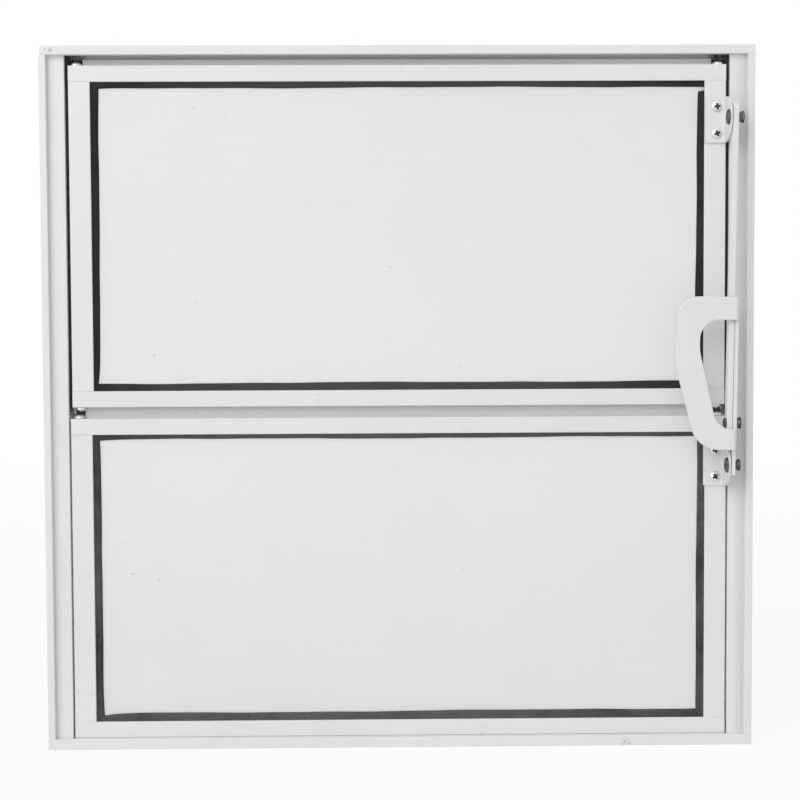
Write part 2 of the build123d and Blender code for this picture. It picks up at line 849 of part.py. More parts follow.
# Rivets: the link's two pivots in the bracket ears, and the one that joins bar and handle
tail_lean = rivet_tail_radius * tan(link_lean) + rivet_end_play
rivet_spans = [
    (upper_rivet_z, ear_left_x - rivet_end_play, lean_x(upper_rivet_z, bar_thickness), rivet_head_radius),
    (lower_rivet_z, ear_left_x - rivet_end_play, lean_x(lower_rivet_z, handle_right), rivet_head_radius),
    (
        joint_rivet_z,
        lean_x(joint_rivet_z, 0) - tail_lean,
        lean_x(joint_rivet_z, handle_right),
        rivet_tail_radius,
    ),
]
with BuildPart() as rivets:
    for rivet_z, head_x, last_x, head_radius in rivet_spans:
        tail_x = last_x + tail_lean
        dome_radius = (head_radius**2 + rivet_head**2) / (2 * rivet_head)
        with BuildSketch(Plane(origin=(0, rivet_y, rivet_z), x_dir=(1, 0, 0), z_dir=(0, -1, 0))):
            with BuildLine():
                Polyline(
                    (head_x, head_radius),
                    (head_x, rivet_radius),
                    (tail_x, rivet_radius),
                    (tail_x, rivet_tail_radius),
                    (tail_x + rivet_tail, rivet_tail_radius),
                    (tail_x + rivet_tail, 0),
                    (head_x - rivet_head, 0),
                )
                RadiusArc((head_x - rivet_head, 0), (head_x, head_radius), dome_radius)
            make_face()
        revolve(axis=Axis((0, rivet_y, rivet_z), (1, 0, 0)))
save(rivets, "rivets")
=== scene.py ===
import math
import random

import bmesh
import bpy
from bpy.props import FloatProperty, FloatVectorProperty, IntProperty, PointerProperty
from mathutils import Matrix, Vector


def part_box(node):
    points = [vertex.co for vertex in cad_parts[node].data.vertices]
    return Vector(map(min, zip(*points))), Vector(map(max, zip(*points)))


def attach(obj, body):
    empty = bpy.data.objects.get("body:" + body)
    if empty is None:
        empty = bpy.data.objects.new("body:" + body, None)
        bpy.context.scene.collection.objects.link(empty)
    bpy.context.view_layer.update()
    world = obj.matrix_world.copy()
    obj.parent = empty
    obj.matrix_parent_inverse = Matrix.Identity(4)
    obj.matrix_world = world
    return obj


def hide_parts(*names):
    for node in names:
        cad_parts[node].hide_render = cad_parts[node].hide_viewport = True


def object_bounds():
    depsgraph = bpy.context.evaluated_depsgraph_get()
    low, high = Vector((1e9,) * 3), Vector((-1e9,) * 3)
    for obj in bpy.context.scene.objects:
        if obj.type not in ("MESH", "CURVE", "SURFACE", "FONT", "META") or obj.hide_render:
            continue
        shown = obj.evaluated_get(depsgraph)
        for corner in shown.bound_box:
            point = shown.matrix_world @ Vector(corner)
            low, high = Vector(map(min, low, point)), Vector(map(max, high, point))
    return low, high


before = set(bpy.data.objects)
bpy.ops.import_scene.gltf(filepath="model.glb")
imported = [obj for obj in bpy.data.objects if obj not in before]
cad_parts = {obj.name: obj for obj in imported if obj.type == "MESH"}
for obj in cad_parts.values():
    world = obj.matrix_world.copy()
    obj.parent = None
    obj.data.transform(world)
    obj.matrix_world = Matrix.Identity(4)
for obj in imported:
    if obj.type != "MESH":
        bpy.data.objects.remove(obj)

bl_info = {
    "name": "Pivot window dressing",
    "version": (1, 0, 0),
    "blender": (4, 5, 0),
    "location": "View3D > Sidebar > Window",
    "description": "Finishes, rubber, pile, screws, rivets and studio for a two-sash pivot window",
    "category": "Object",
}

CAD_BOX = [list(corner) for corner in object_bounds()]
MM = 0.001

SASHES = ("upper", "lower")
SASH_SIDES = ("top_rail", "bottom_rail", "left_stile", "right_stile")
PROFILE_NODES = ["head", "sill", "left_jamb", "right_jamb"]
PROFILE_NODES += [f"{sash}_{side}" for sash in SASHES for side in SASH_SIDES]
LINK_NODES = ("link_bar", "handle", "upper_bracket", "lower_bracket")
PIVOT_NODES = ("upper_pivots", "lower_pivots")

ALONG_X = Vector((1, 0, 0))
ALONG_Z = Vector((0, 0, 1))
TO_ROOM = Vector((0, -1, 0))

# Smudges on the coat: where each one lies and how far it spreads
SMUDGES = (
    ((0.192, -0.0225, 0.002), 0.006),
    ((-0.296, -0.0225, 0.590), 0.004),
    ((-0.290, -0.0225, 0.590), 0.003),
)

# Share of grime and painted shade in the joints and corners of the coat and of the link's paint
COAT_DIRT_AND_SHADE = 0.25
LINK_DIRT_AND_SHADE = 0.9

# Heights between which the panes have a painted sheen, a reflection of the soft light, and where it is
# brightest
PAINTED_SHEEN_LOW, PAINTED_SHEEN_PEAK, PAINTED_SHEEN_HIGH = 0.02, 0.27, 0.58

# Rubber: where the dust in the window's middle thins out and ends, the waves of its inner edge as
# length, size and turn, the reach of its flares, the parts of which a slanted end takes up one, and
# the rounded front of its section as shares of the lip's width and of its thickness
DUST_THINS, DUST_ENDS = 0.12, 0.25
RUBBER_WAVES = ((0.052, 1.0, 1.0), (0.0193, 0.5, 2.3), (0.0089, 0.25, 3.1))
FLARE_REACH = 0.011
CUT_PARTS = 20
LIP_FRONT = ((0.22, 0.05), (0.34, 0.16), (0.38, 0.24), (0.44, 0.22))
LIP_FRONT += ((0.62, 0.30), (0.80, 0.46), (0.93, 0.66), (1.0, 0.88))

# Rubber on each side: widths in millimetres that show, widths of the flares and slants of the
# cuts, each at the strip's start and at its end
RUBBER_SIDES = {
    "upper": {
        "left": ((4.8, 7.0), (-1.2, 0.6), (0.3, 0.0)),
        "top": ((4.9, 4.5), (1.1, 0.3), (0.2, 0.0)),
        "right": ((6.8, 5.6), (0.0, -0.7), (0.0, 0.1)),
        "bottom": ((6.3, 6.6), (0.3, 0.0), (0.0, 0.0)),
    },
    "lower": {
        "left": ((6.4, 5.6), (1.6, -0.9), (0.0, 0.0)),
        "top": ((4.2, 3.9), (1.2, 0.0), (-0.5, 0.0)),
        "right": ((6.2, 6.0), (0.0, 0.0), (0.0, 0.0)),
        "bottom": ((6.4, 6.9), (-2.4, 0.4), (-0.3, 0.0)),
    },
}

# Pile: place of each finish in a piece's list, sizes, among them the length over which the dusty pile's
# painted light fades, fibres in each millimetre, and seeds
CLEAN, DUSTY, PALE = range(3)
PILE_CORE = 1.0 * MM
PAINTED_LIGHT_FADE = 6.0 * MM
BRUSH_WIDTH = 2.6 * MM
TUFT_WIDTH = 9.0 * MM
TUFT_BACK = 3.2 * MM
FIBRE_FOOT_MM = (0.10, 0.20)
FIBRE_TIP = 0.04 * MM
FIBRE_LEAN = 0.16
JAMB_FIBRES, FIN_FIBRES, TUFT_FIBRES, NOTCH_FIBRES = 4.5, 3.0, 18.0, 0.8
FIN_SEED, TUFT_SEED, NOTCH_SEED = 5, 7, 9

# Rivets: outlines of head and tail, as shares of radius and height
RIVET_HEAD = ((0.0, 0.55), (0.30, 0.50), (0.52, 0.30), (0.64, 0.05), (0.76, 0.0))
RIVET_HEAD += ((0.90, 0.12), (0.98, 0.45), (1.0, 0.75), (0.97, 1.0))
RIVET_TAIL = ((0.84, 0.0), (0.80, 0.30), (0.86, 0.55), (1.0, 0.80), (1.0, 0.92))
RIVET_TAIL += ((0.90, 1.0), (0.45, 0.97), (0.30, 0.78), (0.0, 0.74))

# Screws: seed and ranges of the turns of their heads
SCREW_SEED = 3
CORNER_TURNS = (0.0, 1.5)
BRACKET_TURNS = (0.1, 0.6)

# Floor: half its width, its grey, the reach of the shadow that it keeps, and the white left there
FLOOR_HALF = 30.0
FLOOR_GREY = (0.86, 0.86, 0.86, 1.0)
SHADOW_REACH = 3.0
SHADOW_WHITE = 0.90

# Distances for welding, the gap between faces that would touch, and the angle of a sharp edge
WELD, FINE_WELD = 1e-6, 1e-7
TOUCH = 0.05 * MM
SHARP_ANGLE = math.radians(35)


# Settings that a user would change


def colour_setting(name, description, default):
    """A colour property."""
    return FloatVectorProperty(
        name=name, description=description, default=default, subtype="COLOR", min=0.0, max=1.0
    )


def length_setting(name, description, default_mm):
    """A length property, given in millimetres."""
    return FloatProperty(name=name, description=description, default=default_mm * MM, unit="LENGTH")


def number_setting(name, description, default):
    """A plain number property."""
    return FloatProperty(name=name, description=description, default=default)


def angle_setting(name, description, degrees):
    """An angle property, given in degrees."""
    default = math.radians(degrees)
    return FloatProperty(name=name, description=description, default=default, subtype="ANGLE")


def place_setting(name, description, default):
    """A place property, given in metres."""
    return FloatVectorProperty(
        name=name, description=description, default=default, subtype="TRANSLATION", unit="LENGTH"
    )


class WindowColours(bpy.types.PropertyGroup):
    """Colours of the window's finishes"""

    coat: colour_setting("Powder coat", "White coat on the frame and the sashes", (0.80, 0.805, 0.80))
    link: colour_setting("Link paint", "White paint on handle, bar and brackets", (0.79, 0.795, 0.79))
    # Grime for the smudges, and the colour of the painted shade in joints and corners
    grime_and_shade: colour_setting("Grime and shade", "Dirt that lies in joints and corners", (0.16, 0.165, 0.165))
    glass: colour_setting("Glass", "Pale tint of the obscure glass", (0.94, 0.943, 0.953))
    rubber: colour_setting("Rubber", "Black of the glazing rubber", (0.012, 0.012, 0.012))
    rubber_dust: colour_setting("Rubber dust", "Grey dust on the glazing rubber", (0.13, 0.13, 0.13))
    pile: colour_setting("Pile", "Black of the pile seals", (0.012, 0.012, 0.013))
    pile_dust: colour_setting("Pile dust", "Grey dust on the pile seals", (0.20, 0.20, 0.20))
    zinc: colour_setting("Zinc", "Bright zinc on screws and pins", (0.86, 0.86, 0.85))
    rivet: colour_setting("Rivet", "Dark dull steel of the rivets", (0.075, 0.075, 0.076))


class WindowSizes(bpy.types.PropertyGroup):
    """Sizes of the pieces that the dressing adds"""

    jamb_lip: length_setting("Jamb lip", "Width of a jamb's front lip", 6.0)
    # Width of the painted shade that darkens the right jamb's face towards its lip
    jamb_lip_shade: length_setting("Jamb lip shade", "Width of the painted lip shade beside the right lip", 10.0)
    glass_bite: length_setting("Glass bite", "Depth of the pane's edge inside the sash", 5.0)
    rubber_step: length_setting("Rubber step", "Length of one step along a strip of rubber", 4.0)
    rubber_wave: length_setting("Rubber wave", "How far the rubber's inner edge wanders", 0.32)
    rubber_outside: length_setting("Outside lip", "Width of the rubber that shows outside", 3.0)
    corner_head: length_setting("Corner screw head", "Height of a corner screw's head", 4.0)
    bracket_head: length_setting("Bracket screw head", "Height of a bracket screw's head", 2.6)
    rivet_head: length_setting("Rivet head", "Height of a rivet's head", 1.6)
    rivet_tail: length_setting("Rivet tail", "Length of a rivet's upset tail", 4.3)
    rivet_flare: length_setting("Rivet flare", "Radius of a rivet's flared tail", 5.1)
    rivet_shank: length_setting("Rivet shank", "Radius of a rivet's shank", 2.4)
    pile_back: length_setting("Pile backing", "Thickness of the pile's woven backing", 1.0)
    pile_tuft: length_setting("Pile tuft", "Length of pile after which its fibres repeat", 22.0)
    rail_face: length_setting("Rail face", "Height of a rail's face", 13.6)
    bead: length_setting("Sill bead", "Height of the bead on the sill's lip", 0.35)
    fin_setback: length_setting("Fin setback", "Distance of a top rail's fin behind its face", 9.0)
    fin_wall: length_setting("Fin wall", "Thickness of a fin", 1.4)
    fin_clear: length_setting("Fin clearance", "Gap between the raised fin and the upper sash", 0.42)
    fin_notch: length_setting("Fin notch", "Length at a rail's end where its fin is cut away", 13.0)
    fin_end: length_setting("Fin end", "Length that a top fin runs on into its notches", 2.2)
    fin_face: length_setting("Fin facing", "Thickness of the facing on the lower fin", 0.3)
    tuft_over: length_setting("Tuft length", "Extra length of the tufts between the sashes", 2.2)
    tuft_clear: length_setting("Tuft clearance", "Gap between a tuft and a sash that passes it", 0.7)
    round_segments: IntProperty(
        name="Round segments", description="Segments round screws and rivets", default=40, min=8
    )


class StudioSettings(bpy.types.PropertyGroup):
    """Camera and light"""

    camera_place: place_setting("Camera place", "Where the camera stands", (-0.0164, -1.288, 0.3552))
    camera_turn: angle_setting("Camera turn", "Turn of the camera about the upright", -0.763)
    camera_tilt: angle_setting("Camera tilt", "Tilt of the camera above the horizon", -2.647)
    camera_roll: angle_setting("Camera roll", "Roll of the camera about its line of sight", 0.262)
    focal_length: number_setting("Focal length", "In millimetres, on a 36 mm wide sensor", 67.5)
    key_place: place_setting("Key light place", "Where the large soft light stands", (-3.2, -5.0, 3.9))
    key_size: length_setting("Key light size", "Width of the large soft light", 5600.0)
    key_power: number_setting("Key light power", "Power of the large soft light in watts", 262.0)
    room_light: number_setting("Room light", "Strength of the even light from all round", 0.53)


# Helpers for node trees


def new_finish(name):
    """A node material: returns the material, its tree, its shader and its Object coordinates."""
    material = bpy.data.materials.new(name)
    material.use_nodes = True
    tree = material.node_tree
    return material, tree, tree.nodes["Principled BSDF"], coordinates(tree)


def fill(tree, node, inputs):
    """Fills a node's inputs, each with a plain value or a link."""
    for key, value in inputs.items():
        if isinstance(value, bpy.types.NodeSocket):
            tree.links.new(value, node.inputs[key])
        else:
            node.inputs[key].default_value = value


def add_node(tree, kind, inputs=None, **settings):
    """Adds a node, sets its properties and fills its inputs."""
    node = tree.nodes.new(kind)
    for key, value in settings.items():
        setattr(node, key, value)
    fill(tree, node, inputs or {})
    return node


def coordinates(tree, scale=(1.0, 1.0, 1.0)):
    """Object coordinates, stretched by a Mapping node."""
    source = add_node(tree, "ShaderNodeTexCoord")
    inputs = {"Vector": source.outputs["Object"], "Scale": scale}
    return add_node(tree, "ShaderNodeMapping", inputs).outputs["Vector"]


def noise(tree, vector, scale, detail=2.0, roughness=0.5):
    """Grey noise on the given coordinates."""
    inputs = {"Vector": vector, "Scale": scale, "Detail": detail, "Roughness": roughness}
    return add_node(tree, "ShaderNodeTexNoise", inputs).outputs["Fac"]


def spread(tree, value, from_low, from_high, to_low, to_high):
    """Maps a grey value from one range to another, clamped."""
    inputs = {"Value": value, "From Min": from_low, "From Max": from_high}
    inputs |= {"To Min": to_low, "To Max": to_high}
    return add_node(tree, "ShaderNodeMapRange", inputs).outputs["Result"]


def calculate(tree, operation, *values):
    """Result of a Math node for one or two grey values."""
    return add_node(tree, "ShaderNodeMath", dict(enumerate(values)), operation=operation).outputs["Value"]


def times(tree, first, second):
    """Product of two grey values."""
    return calculate(tree, "MULTIPLY", first, second)


def most(tree, first, second):
    """The greater of two grey values."""
    return calculate(tree, "MAXIMUM", first, second)


def mixed(tree, factor, first, second):
    """Mixes two colours by a grey value. Each is a plain colour or a socket."""
    node = add_node(tree, "ShaderNodeMix", {"Factor": factor}, data_type="RGBA")
    sockets = [socket for socket in node.inputs if socket.type == "RGBA"]
    for socket, colour in zip(sockets, (first, second)):
        if isinstance(colour, bpy.types.NodeSocket):
            tree.links.new(colour, socket)
        else:
            socket.default_value = (*colour, 1.0)
    return next(socket for socket in node.outputs if socket.type == "RGBA")


def add_bump(tree, shader, height, strength, distance):
    """Bump from a height value on the shader's normal."""
    inputs = {"Height": height, "Strength": strength, "Distance": distance}
    fill(tree, shader, {"Normal": add_node(tree, "ShaderNodeBump", inputs).outputs["Normal"]})


def crevices(tree, reach):
    """1 deep in corners and joints and 0 on open faces, from the faces within reach."""
    node = add_node(tree, "ShaderNodeAmbientOcclusion", {"Distance": reach}, samples=4)
    return spread(tree, node.outputs["AO"], 0.15, 0.75, 1.0, 0.0)


def near_place(tree, here, place, reach):
    """1 at a place and 0 beyond its reach."""
    apart = add_node(tree, "ShaderNodeVectorMath", {0: here, 1: place}, operation="DISTANCE")
    return spread(tree, apart.outputs["Value"], 0.2 * reach, reach, 1.0, 0.0)


def along_axis(tree, here, axis):
    """Place along one axis."""
    return add_node(tree, "ShaderNodeSeparateXYZ", {"Vector": here}).outputs[axis]


def from_middle(tree, here):
    """Distance from the window's middle to the left or the right."""
    return calculate(tree, "ABSOLUTE", along_axis(tree, here, "X"))


def seen_rays(tree):
    """1 for rays that show the surroundings: camera, glossy and transmission rays."""
    path = add_node(tree, "ShaderNodeLightPath")
    either = most(tree, path.outputs["Is Camera Ray"], path.outputs["Is Glossy Ray"])
    return most(tree, either, path.outputs["Is Transmission Ray"])


def shade_of(colour, factor):
    """A darker or lighter version of a colour."""
    return tuple(min(1.0, channel * factor) for channel in colour)


# Finishes


def powder_coat(name, colour, grime_and_shade, dirt_and_shade, lip_shade=None):
    """Satin white coat: orange peel, clouds, specks, scuffs, smudges, and grime with painted shade in the
    joints and corners.

    `lip_shade` may give the X where a painted shade begins and the X of the lip that it darkens towards,
    as if the lip kept light off the face.
    """
    material, tree, shader, here = new_finish(name)
    clouds = spread(tree, noise(tree, here, 11.0, 3.0), 0.35, 0.65, 0.0, 1.0)
    base = mixed(tree, clouds, shade_of(colour, 0.975), colour)
    drawn = noise(tree, coordinates(tree, (14.0, 14.0, 700.0)), 1.0, 2.0)
    base = mixed(tree, spread(tree, drawn, 0.55, 0.75, 0.0, 0.10), base, shade_of(colour, 0.85))
    specks = spread(tree, noise(tree, here, 420.0, 2.0), 0.70, 0.78, 0.0, 0.40)
    base = mixed(tree, specks, base, shade_of(colour, 0.66))
    patches = spread(tree, noise(tree, here, 21.0, 2.0), 0.62, 0.72, 0.0, 1.0)
    rubs = noise(tree, coordinates(tree, (180.0, 180.0, 520.0)), 1.0, 5.0)
    scuffed = times(tree, patches, spread(tree, rubs, 0.60, 0.72, 0.0, 0.45))
    base = mixed(tree, scuffed, base, shade_of(colour, 0.5))
    dots = spread(tree, noise(tree, here, 560.0, 3.0), 0.50, 0.62, 0.0, 0.6)
    for place, reach in SMUDGES:
        base = mixed(tree, times(tree, near_place(tree, here, place, reach), dots), base, grime_and_shade)
    # Painted shade: the coat darkens over the last stretch before the lip, where the lip keeps light off
    # the face
    if lip_shade:
        start_x, lip_x = lip_shade
        here_x = along_axis(tree, here, "X")
        rising = spread(tree, here_x, start_x, lip_x, 0.0, 0.55)
        ending = spread(tree, here_x, lip_x - 3 * TOUCH, lip_x - TOUCH, 1.0, 0.0)
        base = mixed(tree, times(tree, rising, ending), base, shade_of(colour, 0.6))
    # Grime and painted shade: the colour darkens towards the grime where faces close in on each other
    grain = spread(tree, noise(tree, here, 90.0, 3.0), 0.3, 0.7, 0.3 * dirt_and_shade, dirt_and_shade)
    base = mixed(tree, times(tree, crevices(tree, 1.0 * MM), grain), base, grime_and_shade)
    scuffs = noise(tree, coordinates(tree, (160.0, 160.0, 22.0)), 1.0, 4.0)
    fill(tree, shader, {"Base Color": base, "Roughness": spread(tree, scuffs, 0.3, 0.7, 0.36, 0.50)})
    add_bump(tree, shader, noise(tree, here, 850.0, 2.0), 0.10, 0.0002)
    return material


def obscure_glass(name, colour):
    """Pale translucent glass with a pebbled face, a painted soft sheen from the light, drawn streaks,
    mottling and specks.
    """
    material, tree, shader, here = new_finish(name)
    mottle = noise(tree, here, 6.0, 4.0, 0.6)
    base = mixed(tree, spread(tree, mottle, 0.3, 0.7, 0.0, 1.0), shade_of(colour, 0.965), colour)
    # Painted sheen: the panes are lighter around the middle rail's height, as a reflection of the soft
    # light
    here_z = along_axis(tree, here, "Z")
    below = spread(tree, here_z, PAINTED_SHEEN_LOW, PAINTED_SHEEN_PEAK, 0.0, 1.0)
    above = spread(tree, here_z, PAINTED_SHEEN_PEAK, PAINTED_SHEEN_HIGH, 0.6, 0.15)
    base = mixed(tree, times(tree, below, above), base, shade_of(colour, 1.055))
    streaks = noise(tree, coordinates(tree, (5.0, 5.0, 190.0)), 1.0, 3.0)
    base = mixed(tree, spread(tree, streaks, 0.45, 0.75, 0.0, 0.4), base, shade_of(colour, 1.035))
    specks = spread(tree, noise(tree, here, 190.0, 1.0), 0.80, 0.84, 0.0, 0.5)
    base = mixed(tree, specks, base, shade_of(colour, 0.55))
    fill(tree, shader, {"Base Color": base, "Roughness": 0.42, "IOR": 1.5, "Transmission Weight": 0.3})
    add_bump(tree, shader, noise(tree, here, 330.0, 1.0), 0.10, 0.0005)
    return material


def black_rubber(name, colour, dust_colour, dust, gloss):
    """Matt black rubber with dust in patches and flecks, and more of it in the window's middle."""
    material, tree, shader, here = new_finish(name)
    patches = spread(tree, noise(tree, here, 30.0, 6.0, 0.6), 0.35, 0.75, 0.15 * dust, dust)
    flecks = spread(tree, noise(tree, here, 520.0, 3.0), 0.58, 0.75, 0.0, 0.5 * dust)
    base = mixed(tree, patches, colour, dust_colour)
    base = mixed(tree, flecks, base, shade_of(dust_colour, 1.5))
    middle = spread(tree, from_middle(tree, here), DUST_THINS, DUST_ENDS, 0.32, 0.0)
    base = mixed(tree, middle, base, dust_colour)
    grain = noise(tree, here, 700.0, 3.0)
    rough = spread(tree, grain, 0.3, 0.7, 0.50, 0.64)
    fill(tree, shader, {"Base Color": base, "Roughness": rough, "Specular IOR Level": gloss})
    add_bump(tree, shader, grain, 0.25, 0.0002)
    return material


def black_pile(name, colour, dust_colour, dust, lit_from_x=0.0):
    """Black fibres with grey dust on some of them, and painted light that turns all of them grey inwards
    of lit_from_x.
    """
    material, tree, shader, here = new_finish(name)
    fibres = noise(tree, here, 900.0, 4.0, 0.65)
    clumps = spread(tree, noise(tree, here, 260.0, 2.0), 0.35, 0.65, 0.25, 1.0)
    dusty = times(tree, spread(tree, fibres, 0.36, 0.60, 0.0, dust), clumps)
    # Painted light: the pile turns grey inwards from the fin's notch, where the shade in the notch ends
    painted_light = spread(tree, from_middle(tree, here), lit_from_x - PAINTED_LIGHT_FADE, lit_from_x, 0.9, 0.0)
    base = mixed(tree, most(tree, dusty, painted_light), colour, dust_colour)
    fill(tree, shader, {"Base Color": base, "Roughness": 0.9, "Sheen Weight": 0.25})
    add_bump(tree, shader, fibres, 0.8, 0.0006)
    return material


def bright_zinc(name, colour):
    """Bright zinc with dull patches, fine marks and painted shade in its crevices."""
    material, tree, shader, here = new_finish(name)
    patches = spread(tree, noise(tree, here, 260.0, 4.0), 0.35, 0.7, 0.0, 1.0)
    base = mixed(tree, patches, colour, shade_of(colour, 0.8))
    # Painted shade: the zinc turns almost black where its faces close in
    base = mixed(tree, crevices(tree, 1.0 * MM), base, shade_of(colour, 0.12))
    rough = spread(tree, patches, 0.0, 1.0, 0.34, 0.50)
    fill(tree, shader, {"Base Color": base, "Metallic": 0.9, "Roughness": rough})
    add_bump(tree, shader, noise(tree, here, 1800.0, 2.0), 0.08, 0.0001)
    return material


def recess_dirt_and_shade(name, colour):
    """Dirt and painted shade in a screw's recess, over worn metal."""
    material, tree, shader, here = new_finish(name)
    worn = spread(tree, noise(tree, here, 900.0, 3.0), 0.5, 0.7, 0.0, 0.6)
    base = mixed(tree, worn, colour, shade_of(colour, 3.0))
    fill(tree, shader, {"Base Color": base, "Roughness": 0.7})
    add_bump(tree, shader, worn, 0.4, 0.0002)
    return material


def dull_steel(name, colour):
    """Dark dull steel, lighter where it is rubbed."""
    material, tree, shader, here = new_finish(name)
    rubbed = spread(tree, noise(tree, here, 320.0, 4.0), 0.5, 0.72, 0.0, 0.7)
    base = mixed(tree, rubbed, colour, shade_of(colour, 3.4))
    rough = spread(tree, rubbed, 0.0, 0.7, 0.50, 0.32)
    fill(tree, shader, {"Base Color": base, "Metallic": 0.8, "Roughness": rough})
    add_bump(tree, shader, noise(tree, here, 1200.0, 3.0), 0.2, 0.0001)
    return material


# Helpers for pieces


def assign(node_names, material):
    """Gives the CAD nodes a material."""
    for name in node_names:
        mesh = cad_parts[name].data
        mesh.materials.clear()
        mesh.materials.append(material)


def add_piece(name, shape, materials, body, slot, *replaced):
    """Turns a bmesh into a finished piece that rides on a body and may stand for CAD nodes."""
    mesh = bpy.data.meshes.new(name)
    shape.to_mesh(mesh)
    shape.free()
    for material in materials:
        mesh.materials.append(material)
    mesh.shade_smooth()
    mesh.set_sharp_from_angle(angle=SHARP_ANGLE)
    piece = bpy.data.objects.new(name, mesh)
    bpy.context.scene.collection.objects.link(piece)
    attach(piece, body)
    if replaced:
        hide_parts(*replaced)
    return piece


def solid_boxes(node_name):
    """Low and high corners of each separate solid in a CAD node, lowest first."""
    shape = bmesh.new()
    shape.from_mesh(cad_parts[node_name].data)
    bmesh.ops.remove_doubles(shape, verts=shape.verts, dist=WELD)
    waiting = set(shape.verts)
    boxes = []
    while waiting:
        found = [waiting.pop()]
        solid = list(found)
        while found:
            for edge in found.pop().link_edges:
                for vert in edge.verts:
                    if vert in waiting:
                        waiting.remove(vert)
                        found.append(vert)
                        solid.append(vert)
        low = Vector(min(vert.co[axis] for vert in solid) for axis in range(3))
        high = Vector(max(vert.co[axis] for vert in solid) for axis in range(3))
        boxes.append((low, high))
    shape.free()
    return sorted(boxes, key=lambda box: (round(box[0].z, 5), round(box[0].x, 5)))


def sash_bottom(sash, sizes):
    """Height of a sash's lower edge, a rail's face below its stiles."""
    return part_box(f"{sash}_right_stile")[0][2] - sizes.rail_face


def sash_top(sash, sizes):
    """Height of a sash's upper edge, a rail's face above its stiles."""
    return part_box(f"{sash}_right_stile")[1][2] + sizes.rail_face


def face_outwards(shape):
    """Turns all faces of a bmesh outwards."""
    bmesh.ops.recalc_face_normals(shape, faces=shape.faces)


def add_block(shape, first, second, finish=0):
    """Box between two opposite corners, in the piece's first material or another."""
    low = Vector(map(min, first, second))
    high = Vector(map(max, first, second))
    size = Matrix.Diagonal((*(high - low), 1.0))
    place = Matrix.Translation((low + high) / 2)
    made = bmesh.ops.create_cube(shape, size=1.0, matrix=place @ size)
    for face in {face for vert in made["verts"] for face in vert.link_faces}:
        face.material_index = finish


def spun_mesh(name, points, segments):
    """Mesh spun about Z from an outline of (radius, height) points that runs from axis to axis."""
    shape = bmesh.new()
    verts = [shape.verts.new((radius, 0.0, height)) for radius, height in points]
    edges = [shape.edges.new(pair) for pair in zip(verts, verts[1:])]
    bmesh.ops.spin(
        shape,
        geom=verts + edges,
        axis=(0, 0, 1),
        cent=(0, 0, 0),
        angle=2 * math.pi,
        steps=segments,
        use_merge=True,
    )
    bmesh.ops.remove_doubles(shape, verts=shape.verts, dist=WELD)
    face_outwards(shape)
    mesh = bpy.data.meshes.new(name)
    shape.to_mesh(mesh)
    shape.free()
    return mesh


def copy_to(shape, mesh, places):
    """Copies a mesh to each place, given as a 4 by 4 matrix."""
    for matrix in places:
        before = len(shape.verts)
        shape.from_mesh(mesh)
        shape.verts.ensure_lookup_table()
        bmesh.ops.transform(shape, matrix=matrix, verts=shape.verts[before:])


# Glazing rubber


class RubberStrip:
    """One length of glazing rubber along a side of a pane.

    The strip runs in the direction `along` over `span`. Its section is measured inwards from
    the sash's edge, and its lip shows `shows` at its start and end. `flares` widens it close to
    each end, and `cuts` slants its ends.
    """

    def __init__(self, along, inward, edge, span, shows, flares, cuts, phase):
        self.along = along
        self.inward = inward
        self.edge = edge
        self.start, self.end = span
        self.show, self.show_end = shows
        self.flare, self.flare_end = flares
        self.cut, self.cut_end = cuts
        self.phase = phase

    def lip(self, share, wave):
        """Width of the lip that shows, at a share of the strip's length."""
        place = share * (self.end - self.start)
        waves = (size * math.sin(place / long + turn * self.phase) for long, size, turn in RUBBER_WAVES)
        rest = self.end - self.start - place
        bulge = self.flare * math.exp(-place / FLARE_REACH)
        bulge += self.flare_end * math.exp(-rest / FLARE_REACH)
        return self.show + (self.show_end - self.show) * share + bulge + wave * sum(waves)

    def place(self, share, inward, outward):
        """Point of the strip at a share of its length, with the slanted cuts at its ends."""
        along = self.start + (self.end - self.start) * share
        parts = CUT_PARTS * share
        slant = self.cut * max(0.0, 1 - parts) - self.cut_end * max(0.0, parts - CUT_PARTS + 1)
        along += slant * max(0.0, inward)
        return self.along * along + self.inward * (self.edge + inward) + Vector((0, outward, 0))


def rubber_section(lip, depth):
    """Corners of the rubber's section, as (inwards from the sash's edge, towards the outside)."""
    front, glass_front, glass_back, back, floor, bite, outside = depth
    thick = glass_front - front
    return (
        (floor, front),
        (0.2 * MM, front),
        *((across * lip, front + deep * thick) for across, deep in LIP_FRONT),
        (lip, glass_front),
        (bite, glass_front),
        (bite, glass_back),
        (outside, glass_back),
        (outside, glass_back + 0.3 * thick),
        (0.3 * outside, back),
        (floor, back),
    )


def roll_strip(shape, strip, depth, step, wave):
    """Rolls a grid into a strip of rubber and closes its ends."""
    columns = len(rubber_section(strip.show, depth))
    rows = max(20, round((strip.end - strip.start) / step))
    made = bmesh.ops.create_grid(shape, x_segments=columns, y_segments=rows, size=0.5)
    for vert in made["verts"]:
        column = round((vert.co.x + 0.5) * columns) % columns
        share = vert.co.y + 0.5
        inward, outward = rubber_section(strip.lip(share, wave), depth)[column]
        vert.co = strip.place(share, inward, outward)
    bmesh.ops.remove_doubles(shape, verts=made["verts"], dist=FINE_WELD)
    bmesh.ops.holes_fill(shape, edges=[edge for edge in shape.edges if edge.is_boundary], sides=0)


